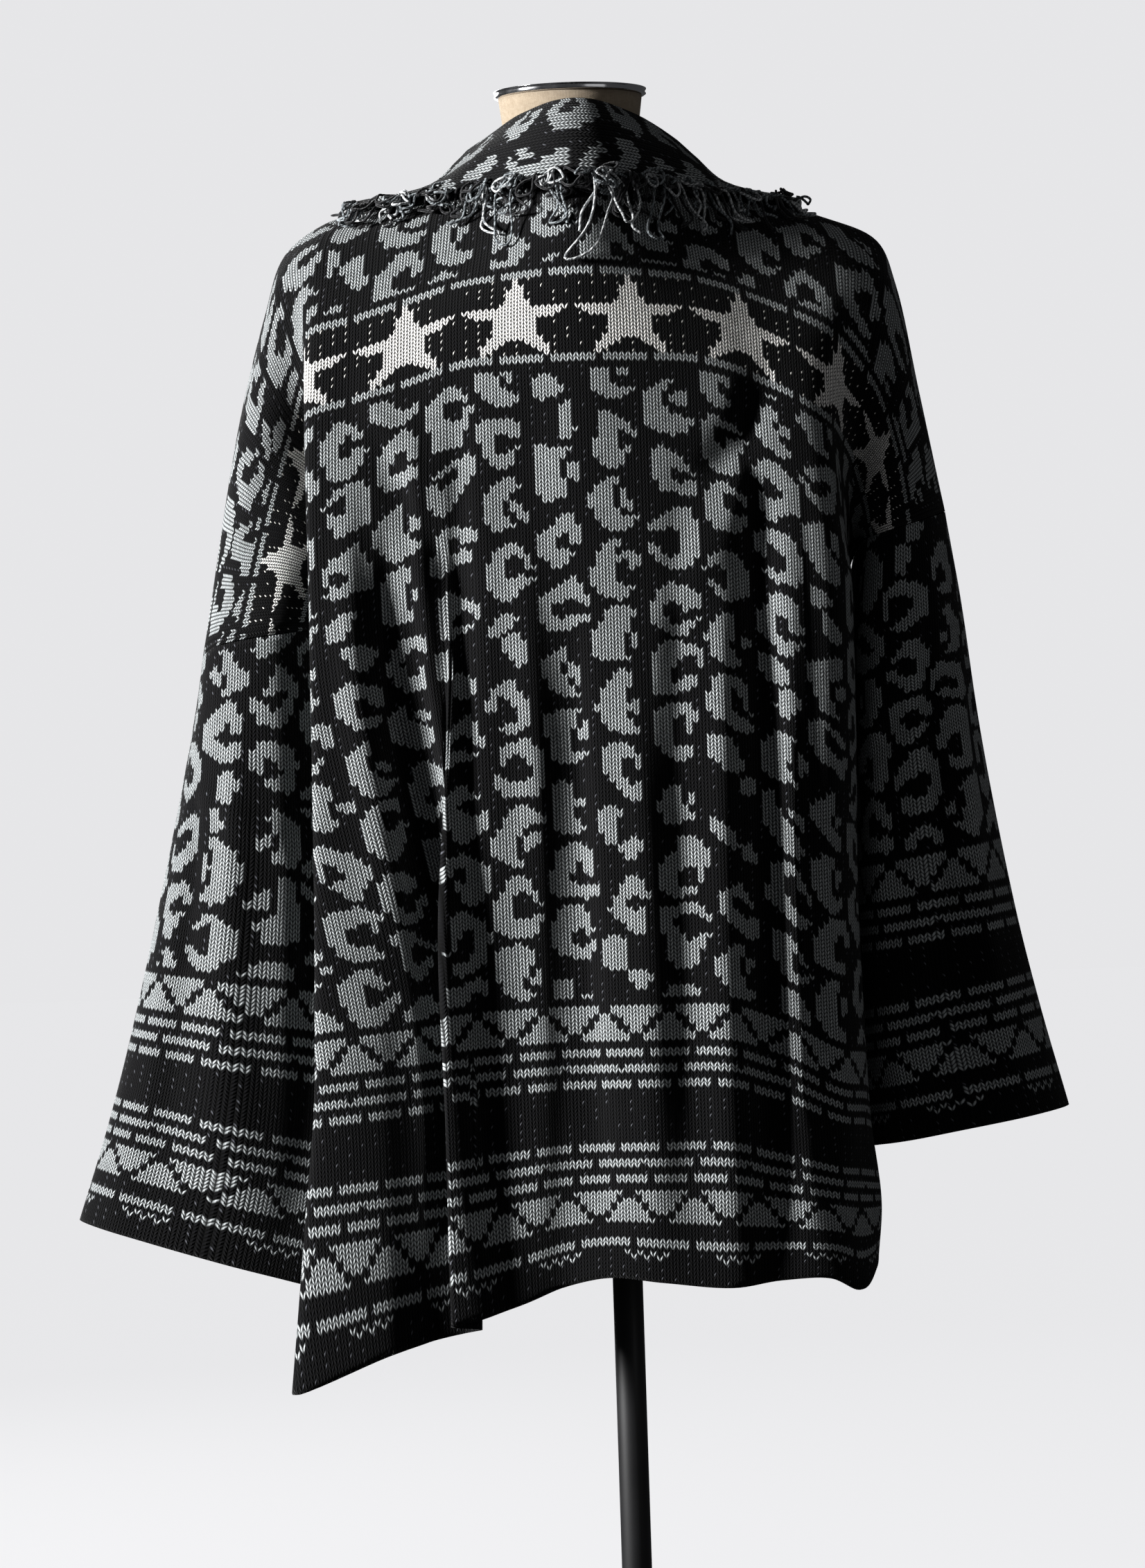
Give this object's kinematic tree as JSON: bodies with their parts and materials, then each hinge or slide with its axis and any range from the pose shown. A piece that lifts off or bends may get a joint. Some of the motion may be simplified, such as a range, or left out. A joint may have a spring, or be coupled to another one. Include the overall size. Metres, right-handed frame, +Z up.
{
  "type": "open knitted cardigan on a limbless dress form with stand",
  "caption": "Open wide-cut knitted cardigan with dropped shoulders, flared sleeves and a fringed fold-over collar, hanging on a limbless dress form with a round-base stand",
  "frame": {"origin": "middle of the underside of the stand's round base, on the floor", "axes": "+Z up, along the pole; the garment's front faces -Y and its wearer's left is +X"},
  "size_m": [0.7589, 0.38, 1.4993],
  "materials": {
    "body_knit": "jacquard knit, matt",
    "sleeve_knit": "jacquard knit, matt",
    "collar_knit": "jacquard knit, matt",
    "fringe_yarn": "unravelled yarn, matt",
    "linen": "woven linen cover, matt",
    "neck_cap": "polished",
    "black_steel": "black powder coat, satin"
  },
  "bodies": {
    "root": {"back": "body_knit", "front_left": "body_knit", "front_right": "body_knit", "sleeve_left": "sleeve_knit", "sleeve_right": "sleeve_knit", "collar": "collar_knit", "fringe_back": "fringe_yarn", "fringe_left": "fringe_yarn", "fringe_right": "fringe_yarn", "form": "linen", "neck_cap": "neck_cap", "pole": "black_steel", "base": "black_steel"}
  },
  "joints": []
}
